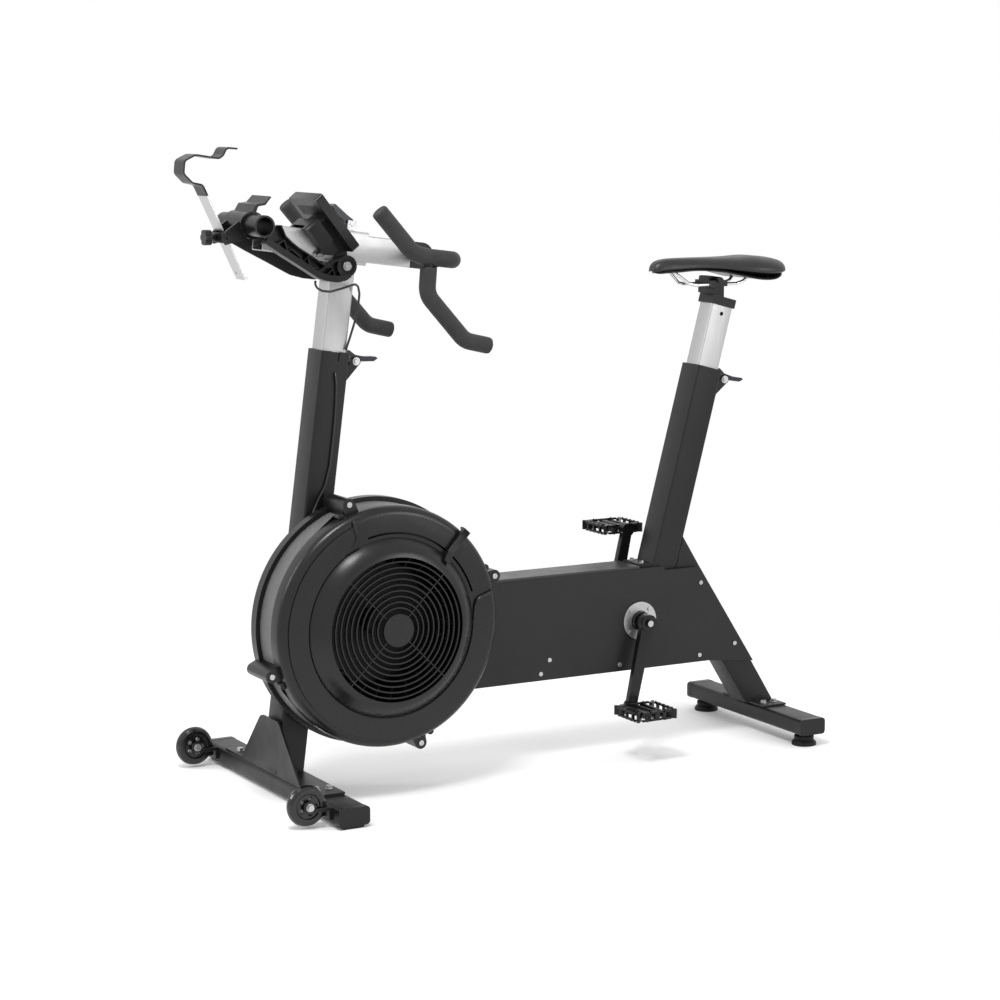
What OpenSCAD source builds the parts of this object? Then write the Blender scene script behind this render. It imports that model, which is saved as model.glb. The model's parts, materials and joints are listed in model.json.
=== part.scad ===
/* [Frame] */
// X position of the front foot beam's centre line
front_foot_x = -464; // [-470:1:-458]
// Distance between the centre lines of the two foot beams
foot_spacing = 1080; // [1060:5:1100]
// Width of the front foot beam over its end caps
front_foot_w = 610; // [590:5:630]
// Width of the rear foot beam over its end caps
rear_foot_w = 417; // [400:1:430]
// Height of the crank spindle above the floor
crank_z = 263; // [260:1:266]
// Half of the width of the frame box over its side covers
box_half = 40; // [40:1:42]

/* [Masts] */
// Lean of the front mast towards the rear, in degrees
front_lean = 7.5; // [7:0.5:8]
// Lean of the seat mast towards the rear, in degrees
seat_lean = 14.9; // [14.5:0.1:15.5]
// Lean of the rear leg from the upright, in degrees
leg_lean = 32; // [31:0.5:33]
// Mast tube size along the bike
mast_x = 58; // [58:1:60]
// Mast tube size across the bike
mast_y = 63; // [63:1:64]
// Wall of the mast and post tubes
tube_wall = 2.5; // [2:0.5:2.5]
// Post tube size along the bike
post_x = 50; // [49:0.5:50]
// Post tube size across the bike
post_y = 46; // [45:0.5:46]
// Corner radius of the mast tubes
mast_round = 4; // [3.5:0.5:5]
// Corner radius of the post and stem tubes
post_round = 3; // [3:0.5:3.5]

/* [Fan] */
// Height of the fan axle above the floor
fan_z = 328; // [326:1:330]
// Radius of the fan cover's flange
cage_r = 228; // [226:1:230]
// Number of fan blades
fan_blades = 26; // [20:2:30]
// Number of rings in the intake grille
grille_rings = 9; // [8:1:10]

/* [Drive] */
// Length of each crank, from spindle to pedal spindle
crank_l = 170; // [165:2.5:170]
// Turn of the left crank from straight down, towards the front, in degrees
crank_turn = 14; // [10:1:18]
// Pitch radius of the crank pulley
crank_pulley_r = 72; // [70:1:73]
// Pitch radius of the small idler pulley
idler_small_r = 25; // [24:1:27]
// Pitch radius of the large idler pulley
idler_large_r = 66; // [62:1:68]
// Pitch radius of the pulley on the fan axle
fan_pulley_r = 23; // [22:1:24]

/* [Hidden] */
$fn = 48;
eps = 0.01;
gap = 0.3;

// Places worked out from the driving sizes
rear_foot_x = front_foot_x + foot_spacing;
front_mast_x = front_foot_x - 6;
seat_mast_x = front_foot_x + 737;
crank_x = front_foot_x + 769;
fan_x = front_foot_x + 152;
idler_x = front_foot_x + 512;
idler_z = 266;
leg_x = front_foot_x + 1014;
leg_z = 154;

// Foot beams: width along X, underside, top
front_beam = [62, 6, 39];
rear_beam = [60, 25.5, 58];
beam_wall = 3;
beam_round = 7;
cap_t = 14;
pad_h = 5.9;
bolt_r = 4;
bolt_apart = 13;
rear_bolt_y = 52;
seat_bolt = [50, 18];
seat_bolt_r = 3;
plate_t = 4;
front_plate = [56, 418];
rear_plate = [56, 150];

// Masts, along their own length from the floor line
front_mast_top = 841;
seat_mast_top = 790;
bushing_l = 90;
flange_y = 172;

// Posts, along the masts
bar_post_low = 560;
bar_post_top = 1004;
seat_post_low = 480;
seat_post_top = 931;

// Frame box
box_top = 368;
box_low = 163;
cover_t = 2;
rail_y = 60;
rail_h = 22;
top_rail_z = 349;
bottom_rail_z = 163;
web_y = 29;
rail_bend_x = idler_x - 60;

// Fan cage: faces along Y on the rider's left
cage_back_y = -46;
cage_flange_y = -140;
face_y = -160;
grille_y = -185;
bezel_r = 168;
grille_r = 136;
hub_disc_r = 31;
ear_r = 244;
ear_turn = 17.5;
damper_turn = 48;
slot_r = 178;
cover_wall = 3;
damper_from = 13;
damper_to = 111.5;
slot_from = damper_from + 4.5;
slot_to = damper_to - 6;

// Stem, square to the front mast
stem_l = 1036;
stem_h = 50;
stem_w = 46;
stem_from = -168;
stem_to = 138;
sleeve_half = 44;
stem_pin = [12, 0, 1080];

// Handlebar: centre of the cross tube, and the planes of the grips
bar_x = front_foot_x + 272;
bar_z = 1007;
grip_y = 200;
tube_r = 11;
foam_r = 15;

// Monitor arm pivot and the hollow tube at the arm's front end
pivot_x = front_foot_x + 119;
pivot_z = 993;
arm_y = 34.5;
arm_t = 15.5;
arm_flare = 13;
hollow_x = front_foot_x - 64;
hollow_z = 1072;
hollow_y = 90;
hollow_r = 20;

// Device holder: bolt that its bar turns on, and the bar's lean
holder_x = front_foot_x - 109;
holder_z = 1050;
holder_lean = -25.5;
bar_low = -84;
bar_high = 102;
bar_w = 40;

// Saddle: clamp axis, and the rails under it
saddle_x = front_foot_x + 960;
saddle_z = 940;

// Transport wheels
wheel_x = front_foot_x - 74;
wheel_y = 258;
wheel_z = 42;
wheel_r = 38;
wheel_w = 22;
hub_half = 12.7;

// Pulley widths and planes
belt_w = 12;
first_belt_y = 12;
second_belt_y = -12;
belt_t = 2.5;
belt_gap = 0.5;
belt_steps = 40;
spindle_r = 10;
idler_shaft_r = 8;
fan_shaft_r = 8;
fit = 0.05;

// Cable: upper lead on the post, lower lead on the mast, in each tube's own frame
cable_r = 2.2;

module at_front_mast() translate([front_mast_x, 0, 0]) rotate([0, front_lean, 0]) children();
module at_seat_mast() translate([seat_mast_x, 0, 0]) rotate([0, seat_lean, 0]) children();
module at_leg() translate([leg_x, 0, leg_z]) rotate([0, -leg_lean, 0]) children();
module at_fan() translate([fan_x, 0, fan_z]) children();
module at_crank() translate([crank_x, 0, crank_z]) children();
module at_idler() translate([idler_x, 0, idler_z]) children();
module at_holder() translate([holder_x, 0, holder_z]) rotate([0, holder_lean, 0]) children();

// A cylinder along Y from y0 to y1
module y_rod(r, y0, y1, sides = 48)
    translate([0, y1, 0]) rotate([90, 0, 0]) cylinder(r = r, h = y1 - y0, $fn = sides);

// A box from its lowest to its highest corner
module block(a, b) translate(a) cube(b - a);

// Corner points of a rounded rectangle, centred
function round_rect(w, h, r, n = 4) =
    [for (c = [[1, 1, 0], [-1, 1, 90], [-1, -1, 180], [1, -1, 270]], i = [0:n])
        let (t = c[2] + 90 * i / n)
        [c[0] * (w / 2 - r) + r * cos(t), c[1] * (h / 2 - r) + r * sin(t)]];

// A plate of rounded outline along Y, from y0 to y1
module y_plate(w, h, r, y0, y1)
    translate([0, y1, 0]) rotate([90, 0, 0]) linear_extrude(y1 - y0) polygon(round_rect(w, h, r));

// An upright rectangular tube with rounded corners, from z0 to z1
module box_tube(w, d, wall, z0, z1, r)
    difference() {
        translate([0, 0, z0]) linear_extrude(z1 - z0) polygon(round_rect(w, d, r));
        translate([0, 0, z0 - 1]) linear_extrude(z1 - z0 + 2)
            polygon(round_rect(w - 2 * wall, d - 2 * wall, r - wall + 0.5));
    }

// A ring turned about Y, from an outline of [radius, y]
module y_turned(points)
    rotate([90, 0, 0]) rotate_extrude($fn = 128) polygon([for (p = points) [p[0], -p[1]]]);

// A hexagon bolt along +Z: shank below the seat, head and washer above it
module hex_bolt(r, shank, head) {
    cylinder(r = r * 1.9, h = 1.2);
    translate([0, 0, 1.2 - eps]) cylinder(r = r * 1.6, h = head, $fn = 6);
    translate([0, 0, -shank]) cylinder(r = r, h = shank + eps, $fn = 24);
}

// A round-headed screw along +Z
module round_screw(r, shank) {
    cylinder(r = r * 1.8, h = r * 0.9, $fn = 24);
    translate([0, 0, -shank]) cylinder(r = r, h = shank + eps, $fn = 16);
}

// Sweep helpers: points of a path with rounded corners, and a round tube along it
function unit(v) = v / norm(v);
function corner(a, b, c, r, n) =
    let (u = unit(a - b), v = unit(c - b), half = acos(u * v) / 2,
        back = r / tan(half), middle = b + unit(u + v) * r / sin(half),
        p = b + u * back, q = b + v * back)
    [for (i = [0:n]) let (t = i / n, m = p * (1 - t) + q * t) middle + unit(m - middle) * r];
function rounded(path, r, n = 6) = concat([path[0]],
    [for (i = [1:len(path) - 2]) each corner(path[i - 1], path[i], path[i + 1], r, n)],
    [path[len(path) - 1]]);
function heading(path, i) = unit(path[min(i + 1, len(path) - 1)] - path[max(i - 1, 0)]);
function sides_of(path, i, side) =
    i >= len(path) ? [] :
    let (h = heading(path, i), s = unit(side - (side * h) * h))
    concat([[s, cross(h, s)]], sides_of(path, i + 1, s));
function reversed(list) = [for (i = [len(list) - 1:-1:0]) list[i]];
// A flat path moved sideways by t
function strip_side(path, t) = [for (i = [0:len(path) - 1])
    let (a = path[max(i - 1, 0)], b = path[min(i + 1, len(path) - 1)], d = (b - a) / norm(b - a))
    path[i] + t * [-d[1], d[0]]];

module sweep(path, r, sides, start = [0, 1, 0.01]) {
    frames = sides_of(path, 0, start);
    points = [for (i = [0:len(path) - 1]) for (k = [0:sides - 1])
        path[i] + r * (cos(360 * k / sides) * frames[i][0] + sin(360 * k / sides) * frames[i][1])];
    last = (len(path) - 1) * sides;
    polyhedron(points, concat(
        [[for (k = [0:sides - 1]) sides - 1 - k]],
        [for (i = [0:len(path) - 2]) for (k = [0:sides - 1])
            [i * sides + k, i * sides + (k + 1) % sides,
                (i + 1) * sides + (k + 1) % sides, (i + 1) * sides + k]],
        [[for (k = [0:sides - 1]) last + k]]));
}

// A sleeve along a path: outer and inner walls, a ring at its start and a cap at its end
module sleeve(path, r, bore, sides, start) {
    frames = sides_of(path, 0, start);
    n = len(path);
    inner_end = path[n - 1] - 2 * heading(path, n - 1);
    function ring(p, i, radius) = [for (k = [0:sides - 1]) p + radius
        * (cos(360 * k / sides) * frames[i][0] + sin(360 * k / sides) * frames[i][1])];
    points = concat([for (i = [0:n - 1]) each ring(path[i], i, r)],
        [for (i = [0:n - 1]) each ring(i < n - 1 ? path[i] : inner_end, i, bore)]);
    polyhedron(points, concat(
        [for (i = [0:n - 2], k = [0:sides - 1]) let (a = i * sides, b = (k + 1) % sides)
            [a + k, a + b, a + sides + b, a + sides + k]],
        [for (i = [0:n - 2], k = [0:sides - 1]) let (a = (n + i) * sides, b = (k + 1) % sides)
            [a + k, a + sides + k, a + sides + b, a + b]],
        [for (k = [0:sides - 1]) let (a = n * sides, b = (k + 1) % sides) [b, k, a + k, a + b]],
        [[for (k = [0:sides - 1]) (n - 1) * sides + k]],
        [[for (k = [0:sides - 1]) (2 * n - 1) * sides + sides - 1 - k]]));
}

// ---- feet ----

// Clearance holes for the bolts that hold a plate, each side of the middle
module plate_holes(apart, y, z)
    for (s = [-1, 1], k = [-1, 1]) translate([k * apart, s * y, z - 30])
        cylinder(r = bolt_r + fit, h = 60, $fn = 24);

module beam(size, width) translate([0, 0, (size[1] + size[2]) / 2]) difference() {
    y_plate(size[0], size[2] - size[1], beam_round, -width / 2, width / 2);
    y_plate(size[0] - 2 * beam_wall, size[2] - size[1] - 2 * beam_wall, beam_round - beam_wall,
        -width, width);
}

module end_cap(size, width)
    for (s = [-1, 1]) translate([0, s * (width - cap_t) / 2, (size[1] + size[2]) / 2]) {
        y_plate(size[0] + 1, size[2] - size[1] + 1, beam_round, -cap_t / 2, cap_t / 2);
        translate([0, -s * (cap_t / 2 + 4), 0])
            cube([size[0] - 2 * beam_wall - 4, 8 + eps, size[2] - size[1] - 2 * beam_wall - 4],
                center = true);
    }

module front_foot_beam() color("#2b2c2e") translate([front_foot_x, 0, 0]) difference() {
    beam(front_beam, front_foot_w - 2 * cap_t);
    plate_holes(bolt_apart, flange_y, front_beam[2]);
}

module front_end_caps() color("#1d1e20") translate([front_foot_x, 0, 0]) {
    end_cap(front_beam, front_foot_w);
    // Pads that stand on the floor
    for (s = [-1, 1]) translate([0, s * (front_foot_w / 2 - 18), pad_h / 2])
        y_plate(42, pad_h, 2, -14, 14);
}

module rear_foot_beam() color("#2b2c2e") translate([rear_foot_x, 0, 0]) difference() {
    beam(rear_beam, rear_foot_w - 2 * cap_t);
    plate_holes(bolt_apart, rear_bolt_y, rear_beam[2]);
    for (s = [-1, 1]) translate([0, s * (rear_foot_w / 2 - 30), rear_beam[1] - 1])
        cylinder(r = 5 + fit, h = beam_wall + 2);
}

module rear_end_caps() color("#1d1e20") translate([rear_foot_x, 0, 0])
    end_cap(rear_beam, rear_foot_w);

module levelling_foot(s) color("#19191b")
    translate([rear_foot_x, s * (rear_foot_w / 2 - 30), 0]) {
        rotate_extrude($fn = 64) polygon([[0, 0], [25, 0], [25, 5], [22, 9], [19, 11], [20, 14],
            [20, 19], [17, 20.5], [0, 20.5]]);
        translate([0, 0, 20]) cylinder(r = 5, h = 24);
    }

module levelling_foot_left() levelling_foot(-1);
module levelling_foot_right() levelling_foot(1);

// ---- transport wheels ----

module wheel_brackets() color("#232426")
    for (s = [-1, 1], k = [-1, 1])
        translate([0, s * wheel_y + k * (wheel_w / 2 + 4), 0]) difference() {
            union() {
                block([front_foot_x - front_beam[0] / 2 - 5, -2, 14],
                    [front_foot_x - front_beam[0] / 2, 2, 38]);
                block([wheel_x, -2, wheel_z - 11],
                    [front_foot_x - front_beam[0] / 2 - 2, 2, wheel_z - 4]);
                translate([wheel_x, 0, wheel_z]) y_rod(11, -2, 2);
            }
            translate([wheel_x, 0, wheel_z]) y_rod(4 + fit, -3, 3);
        }

module transport_wheel(s) color("#141415")
    translate([wheel_x, s * wheel_y, wheel_z]) difference() {
        y_turned([[4 + fit, -hub_half], [8, -hub_half], [8, -8], [22, -8], [24, -11], [31, -11], [36, -7],
            [wheel_r, 0], [36, 7], [31, 11], [24, 11], [22, 8], [8, 8], [8, hub_half], [4 + fit, hub_half]]);
        for (k = [0:4]) rotate([0, 72 * k, 0]) translate([15, 0, 0]) y_rod(4, -9, 9, 24);
    }

module wheel_left() transport_wheel(-1);
module wheel_right() transport_wheel(1);

// ---- masts and frame box ----

module front_mast() color("#1c1d1f") {
    difference() {
        at_front_mast() box_tube(mast_x, mast_y, tube_wall, 0, front_mast_top, mast_round);
        block([front_foot_x - 200, -100, -60], [front_foot_x + 200, 100, front_beam[2] + plate_t]);
        at_front_mast() translate([0, -mast_y / 2, front_mast_top])
            cube([16, 12, 36], center = true);
    }
    // Base plate that lies on the foot beam
    translate([front_foot_x, 0, front_beam[2]]) difference() {
        block([-front_plate[0] / 2, -front_plate[1] / 2, 0],
            [front_plate[0] / 2, front_plate[1] / 2, plate_t]);
        plate_holes(bolt_apart, flange_y, 0);
    }
    // Flared plate in front of the mast
    translate([front_foot_x - front_plate[0] / 2, 0, front_beam[2] + plate_t - eps])
        rotate([90, 0, 90]) linear_extrude(plate_t)
            polygon(rounded([[-132, 0], [-40, 102], [40, 102], [132, 0]], 24, 6));
    // Gussets between the plate and the tube
    for (s = [-1, 1]) translate([front_foot_x, s * 30 + 2, 0]) rotate([90, 0, 0])
        linear_extrude(plate_t) polygon([[-26, front_beam[2] + plate_t - eps], [-26, 130],
            [-10, 130], [-20, front_beam[2] + plate_t - eps]]);
}

module frame_bolts() color("#a9acb0") {
    translate([front_foot_x, 0, front_beam[2] + plate_t]) for (s = [-1, 1], k = [-1, 1])
        translate([k * bolt_apart, s * flange_y, 0]) hex_bolt(bolt_r, 9, 5);
    translate([rear_foot_x, 0, rear_beam[2] + plate_t]) for (s = [-1, 1], k = [-1, 1])
        translate([k * bolt_apart, s * rear_bolt_y, 0]) hex_bolt(bolt_r, 9, 5);
    for (k = [-1, 1]) translate([seat_mast_x + seat_bolt[0], k * seat_bolt[1], box_top + 7])
        hex_bolt(seat_bolt_r, 12, 4);
    for (s = [-1, 1]) translate([wheel_x, s * wheel_y, wheel_z]) rotate([90, 0, 0])
        translate([0, 0, wheel_w / 2 + 6]) {
            hex_bolt(4, wheel_w + 14, 5);
            translate([0, 0, -wheel_w - 18]) cylinder(r = 7, h = 6, $fn = 6);
        }
}

module seat_bolt_holes()
    for (k = [-1, 1]) translate([seat_mast_x + seat_bolt[0], k * seat_bolt[1], box_top - 20])
        cylinder(r = seat_bolt_r + fit, h = 40, $fn = 24);

module top_rail() color("#1c1d1f") difference() {
    block([front_mast_x - 10, -rail_y / 2, top_rail_z], [seat_mast_x + 80, rail_y / 2,
        top_rail_z + rail_h]);
    block([front_mast_x - 20, tube_wall - rail_y / 2, top_rail_z + tube_wall],
        [seat_mast_x + 90, rail_y / 2 - tube_wall, top_rail_z + rail_h - tube_wall]);
    at_front_mast() block([-200, -60, 0], [mast_x / 2, 60, 600]);
    at_seat_mast() block([-mast_x / 2, -60, 0], [300, 60, 900]);
    seat_bolt_holes();
    // Opening under the rail for the fan pulley and its belt
    block([fan_x - 34, second_belt_y - 10.5, top_rail_z - 1],
        [fan_x + 120, second_belt_y + 10.5, fan_z + fan_pulley_r + 7]);
}

module rail_side() polygon([[-440, 99], [-440, 99 + rail_h], [0, rail_h],
    [leg_x + 60 - rail_bend_x, rail_h], [leg_x + 60 - rail_bend_x, 0], [0, 0]]);

module bottom_rail() color("#1c1d1f") difference() {
    translate([rail_bend_x, rail_y / 2, bottom_rail_z]) rotate([90, 0, 0])
        linear_extrude(rail_y) rail_side();
    translate([rail_bend_x, rail_y / 2 - tube_wall, bottom_rail_z]) rotate([90, 0, 0])
        linear_extrude(rail_y - 2 * tube_wall) difference() {
            rail_side();
            translate([0, -rail_h + tube_wall]) rail_side();
            translate([0, rail_h - tube_wall]) rail_side();
        }
    at_front_mast() block([-300, -60, 0], [mast_x / 2, 60, 600]);
    at_leg() block([-mast_x / 2, -60, -400], [200, 60, 400]);
}

module bearing_plates() color("#26272a") difference() {
    for (s = [-1, 1]) {
        for (place = [[crank_x, crank_z, 17], [idler_x, idler_z, 14]])
            translate([place[0], s * web_y, 0]) {
                block([-30, -3, bottom_rail_z + rail_h], [30, 3, top_rail_z]);
                translate([0, 0, place[1]]) y_rod(place[2] + 6, -6, 6);
            }
        translate([fan_x, s * web_y, 0]) {
            block([-30, -3, fan_z - 62], [30, 3, top_rail_z]);
            translate([0, 0, fan_z]) y_rod(17, -6, 6);
        }
    }
    at_crank() y_rod(spindle_r + fit, -60, 60);
    at_idler() y_rod(idler_shaft_r + fit, -60, 60);
    at_fan() y_rod(fan_shaft_r + fit, -60, 60);
}

function cover_outline() = [[fan_x - 84, 262], [fan_x + 146, box_low], [leg_x - 74, box_low],
    [leg_x + 34, box_low - 11], [leg_x - 101, box_top - 8], [seat_mast_x + 93, box_top - 8],
    [seat_mast_x + 88, box_top], [fan_x - 78, box_top]];

cover_screw_r = 2.5;
cover_screw_places = [[916, 327], [1001, 193], [915, 177], [723, 177], [540, 177], [560, 203]];

module side_cover(s) color("#242527") difference() {
    translate([0, s * box_half + (s > 0 ? 0 : cover_t), 0]) rotate([90, 0, 0])
        linear_extrude(cover_t) polygon(cover_outline());
    at_crank() y_rod(22, -60, 60);
    at_fan() y_rod(20, -60, 60);
    for (p = cover_screw_places) translate([front_foot_x + p[0], 0, p[1]])
        y_rod(cover_screw_r + fit, -60, 60, 24);
}

module side_cover_left() side_cover(-1);
module side_cover_right() side_cover(1);

module top_cover() color("#55575a") difference() {
    union() {
        block([fan_x - 60, -box_half + cover_t + gap, box_top + 3],
            [seat_mast_x + 34, box_half - cover_t - gap, box_top + 5]);
        for (s = [-1, 1]) translate([0, s * (box_half - cover_t - 1 - gap), 0])
            block([fan_x - 60, -1, box_top - 12], [seat_mast_x + 34, 1, box_top + 4]);
    }
    at_front_mast() block([-300, -60, 0], [mast_x / 2 + 1, 60, 600]);
}

module cover_screws() color("#b4b7ba") {
    for (s = [-1, 1], p = cover_screw_places)
        translate([front_foot_x + p[0], s * box_half, p[1]])
            rotate([s * -90, 0, 0]) round_screw(cover_screw_r, 8);
    at_fan() for (k = [0:3]) rotate([0, -(ear_turn + 90 * k), 0])
        translate([ear_r, -132, 0]) rotate([90, 0, 0]) round_screw(3, 82);
}

module rear_leg() color("#1c1d1f") {
    difference() {
        at_leg() box_tube(mast_x, mast_y - 1, tube_wall, -140, 420, mast_round);
        block([0, -100, -100], [rear_foot_x + 200, 100, rear_beam[2] + plate_t]);
        at_seat_mast() block([-300, -60, 0], [mast_x / 2, 60, 900]);
    }
    translate([rear_foot_x, 0, rear_beam[2]]) difference() {
        block([-rear_plate[0] / 2, -rear_plate[1] / 2, 0],
            [rear_plate[0] / 2, rear_plate[1] / 2, plate_t]);
        plate_holes(bolt_apart, rear_bolt_y, 0);
    }
}

module seat_mast() color("#1c1d1f") {
    difference() {
        at_seat_mast() box_tube(mast_x, mast_y, tube_wall, 0, seat_mast_top, mast_round);
        block([-200, -100, -60], [800, 100, top_rail_z]);
    }
    difference() {
        block([seat_mast_x + 36, -29, box_top + 3], [seat_mast_x + 72, 29, box_top + 7]);
        seat_bolt_holes();
    }
}

module mast_bushing(top)
    difference() {
        translate([0, 0, top - bushing_l]) linear_extrude(bushing_l)
            polygon(round_rect(mast_x - 2 * tube_wall, mast_y - 2 * tube_wall,
                mast_round - tube_wall + 0.5));
        translate([0, 0, top - 2 * bushing_l]) linear_extrude(3 * bushing_l)
            polygon(round_rect(post_x + 2 * gap, post_y + 2 * gap, post_round));
    }

module mast_bushings() color("#101011") {
    at_front_mast() mast_bushing(front_mast_top - 1);
    at_seat_mast() mast_bushing(seat_mast_top - 1);
}

// Bracket and pin of a clamp lever behind a mast, with the mast's top at height top
module lever_bracket(top) translate([mast_x / 2, 0, top]) {
    for (s = [-1, 1]) translate([0, s * 12, 0]) difference() {
        union() {
            translate([0, 1.5, 0]) rotate([90, 0, 0]) linear_extrude(3)
                polygon([[0, -58], [8, -52], [31, -20], [31, -12], [18, -10], [0, -40]]);
            translate([24, 0, -15]) y_rod(9, -1.5, 1.5);
        }
        translate([24, 0, -15]) y_rod(5, -3, 3);
    }
    block([0, -14, -58], [3, 14, -40]);
}

module lever_pin(top) translate([mast_x / 2 + 24, 0, top - 15]) y_rod(4.95, -18, 18);

module lever_brackets() {
    color("#1a1a1c") at_front_mast() lever_bracket(front_mast_top);
    color("#1a1a1c") at_seat_mast() lever_bracket(seat_mast_top);
    color("#c8cacc") at_front_mast() lever_pin(front_mast_top);
    color("#c8cacc") at_seat_mast() lever_pin(seat_mast_top);
}

// Cam lever: a drum on the pin, a toe on the mast's strap and a thumb plate
module cam_lever(top) translate([mast_x / 2 + 24, 0, top - 15]) difference() {
    union() {
        y_rod(9, -10, 10);
        translate([0, 10, 0]) rotate([90, 0, 0]) linear_extrude(20)
            polygon([[-20, 16], [-16, 20], [-2, 12], [20, 10], [42, 12], [46, 9], [38, 3],
                [9, 0], [0, -6], [-8, 2]]);
    }
    y_rod(5, -20, 20);
}

module seat_lever() color("#15161a") at_seat_mast() cam_lever(seat_mast_top);
module post_lever() color("#15161a") at_front_mast() cam_lever(front_mast_top);

// ---- seat post and saddle ----

module seat_post() color("#c9ccce")
    at_seat_mast() difference() {
        box_tube(post_x, post_y, tube_wall, seat_post_low, seat_post_top, post_round);
        translate([2, 0, seat_post_top - 30]) y_rod(4, -40, 40, 24);
    }

module seat_post_cap() color("#1a1b1c") {
    at_seat_mast() difference() {
        block([-post_x / 2 - 3, -post_y / 2 - 3, seat_post_top - 14],
            [post_x / 2 + 3, post_y / 2 + 3, seat_post_top + 4]);
        block([-post_x / 2, -post_y / 2, seat_post_top - 20],
            [post_x / 2, post_y / 2, seat_post_top]);
    }
    // Cradle that the clamp rocks in
    difference() {
        translate([saddle_x - 22, -14.5, 900]) cube([44, 29, 28]);
        at_seat_mast() block([-80, -80, 600], [80, 80, seat_post_top + 3]);
        translate([saddle_x, 0, saddle_z]) y_rod(20, -60, 60);
    }
}

module saddle_clamp() color("#222325") translate([saddle_x, 0, saddle_z]) difference() {
    union() {
        y_rod(19.6, -16, 16);
        for (s = [-1, 1]) translate([0, s * 22, -13]) {
            block([-20, -7, -1], [20, 7, 9]);
        }
        y_rod(6, -34, 34);
        block([-20, -29, -8], [20, 29, -2]);
    }
    // Flat top, falling away under the shell's rear half
    translate([0, 50, 0]) rotate([90, 0, 0]) linear_extrude(100)
        polygon([[-40, 6.5], [-4, 6.5], [40, -6], [40, 40], [-40, 40]]);
    for (s = [-1, 1]) translate([0, s * 22, -10])
        rotate([0, 90, 0]) translate([0, 0, -40]) cylinder(r = 3.5 + gap, h = 80, $fn = 24);
}

rail_r = 3.5;
// One saddle rail: nose, dip along the clamp, and tail, on the +Y side
rail_path = [[-106, 6, 21], [-96, 8, 17], [-66, 20, -7], [-52, 22, -10], [46, 22, -10],
    [60, 23, -6], [84, 34, 14], [96, 38, 20]];

module saddle_rails() color("#c4c6c8") translate([saddle_x, 0, saddle_z])
    for (s = [-1, 1]) scale([1, s, 1])
        sweep(rounded(rail_path, 4, 3), rail_r, 12);

// Along the saddle: x, half width, and heights of top, seam between pad and shell, and underside
saddle_plan = [[-141, 15, 30, 22, 16], [-118, 21, 41, 26, 13], [-50, 29, 44, 26, 16],
    [0, 43, 43, 26, 12], [40, 58, 44, 26, 2], [115, 67, 42, 26, -6], [154, 38, 34, 24, 14]];

// A thin slice of the saddle at one place of the plan, with the given section
module saddle_slice(x, section) translate([x, 0, 0])
    rotate([90, 0, 90]) linear_extrude(0.02) polygon(section);

function pad_section(p) = let (w = p[1], low = p[3] + 0.4, top = p[2])
    [[-w * 0.9, low], [w * 0.9, low], [w, low + (top - low) * 0.4], [w * 0.88, top - 4],
        [w * 0.5, top], [-w * 0.5, top], [-w * 0.88, top - 4], [-w, low + (top - low) * 0.4]];
function shell_section(p) = let (w = p[1] - 5)
    [[-w * 0.8, p[4]], [w * 0.8, p[4]], [w, p[4] + 4], [w, p[3]], [-w, p[3]], [-w, p[4] + 4]];

module saddle_pad() color("#1f2022") translate([saddle_x, 0, saddle_z])
    for (i = [0:len(saddle_plan) - 2]) hull() for (p = [saddle_plan[i], saddle_plan[i + 1]])
        saddle_slice(p[0], pad_section(p));

module saddle_shell() color("#121213") translate([saddle_x, 0, saddle_z]) difference() {
    for (i = [0:len(saddle_plan) - 2]) hull() for (p = [saddle_plan[i], saddle_plan[i + 1]])
        saddle_slice(p[0], shell_section(p));
    // Hollows that the ends of the rails sit in
    block([-112, -14, -20], [-84, 14, 24.6]);
    for (s = [-1, 1]) translate([0, s * 30, 0]) block([54, -15, -20], [104, 15, 24.6]);
}

// ---- handlebar post, stem and bar ----

// Hole for the bolt that the monitor and its arm turn on
module pivot_hole() translate([pivot_x, 0, pivot_z]) y_rod(5 + fit, -80, 80);

module handlebar_post() color("#c9ccce") difference() {
    at_front_mast()
        box_tube(post_x, post_y, tube_wall, bar_post_low, bar_post_top, post_round);
    pivot_hole();
}

module stem_sleeve() color("#c9ccce") difference() {
    at_front_mast() translate([-sleeve_half, 0, stem_l]) rotate([90, 0, 90])
        linear_extrude(2 * sleeve_half) difference() {
            polygon(round_rect(stem_w + 8, stem_h + 12, post_round + 2));
            polygon(round_rect(stem_w + 2 * gap, stem_h + 2 * gap, post_round));
        }
    pivot_hole();
}

module stem_pins() color("#c8cacc") {
    at_front_mast() {
        translate(stem_pin) y_rod(4.95, -17, 17);
        for (s = [-1, 1]) difference() {
            block([stem_pin[0] - 9, s * 14 - 2, stem_l + stem_h / 2 + 6],
                [stem_pin[0] + 9, s * 14 + 2, stem_pin[2] + 6]);
            translate(stem_pin) y_rod(4.95, -20, 20);
        }
    }
    translate([pivot_x, 0, pivot_z]) {
        y_rod(5, -arm_y - arm_t, arm_y + arm_t);
        for (s = [-1, 1]) translate([0, s * (arm_y + arm_t), 0]) rotate([s * -90, 0, 0])
            hex_bolt(4.4, 3, 5);
    }
}

module stem_tube() color("#d2d4d6") difference() {
    at_front_mast() translate([stem_from, 0, stem_l]) rotate([0, 90, 0])
        box_tube(stem_h, stem_w, tube_wall, 0, stem_to - stem_from, post_round);
    bar_space();
}

module stem_lever() color("#15161a") at_front_mast()
    translate(stem_pin) difference() {
        union() {
            y_rod(8, -10, 10);
            translate([0, 10, 0]) rotate([90, 0, 0]) linear_extrude(20)
                polygon([[0, -8], [8, 0], [4, 8], [-10, 16], [-36, 33], [-42, 28],
                    [-30, 14], [-8, -2]]);
        }
        y_rod(5, -30, 30);
    }

// Space of the bar where the clamp holds it
module bar_space() translate([bar_x, 0, bar_z]) y_rod(bar_bore_r + fit, -60, 60);

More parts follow.
